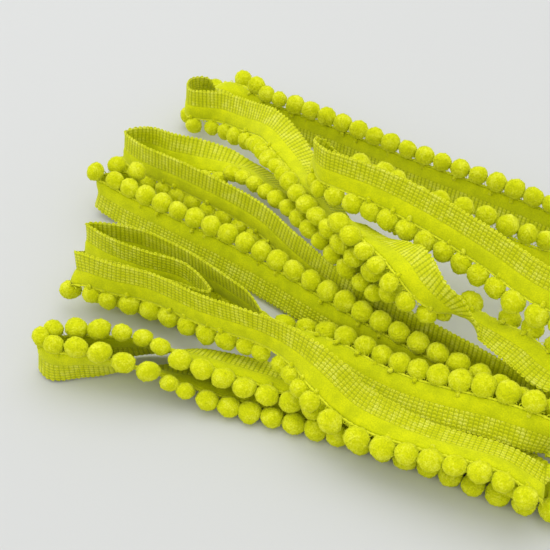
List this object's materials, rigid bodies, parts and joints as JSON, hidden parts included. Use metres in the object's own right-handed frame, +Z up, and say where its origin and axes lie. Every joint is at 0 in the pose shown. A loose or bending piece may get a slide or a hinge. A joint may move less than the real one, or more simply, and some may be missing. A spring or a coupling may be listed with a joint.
{
  "type": "pompom fringe trim",
  "caption": "Narrow braided heading tape with a row of small plush pompoms along one edge, laid on edge and flat in a loose back-and-forth heap of loops.",
  "frame": {"origin": "Centre of the heap's bounding box, at the level of the surface it lies on.", "axes": "+X along the long passes of the trim towards its right-hand turns, +Y towards the back of the heap, +Z up from the surface."},
  "size_m": [0.1886, 0.1362, 0.0407],
  "materials": {
    "heading_tape": "satin",
    "pompom_fringe": "matte"
  },
  "bodies": {
    "root": {"heading_tape": "heading_tape", "pompom_fringe": "pompom_fringe"}
  },
  "joints": []
}
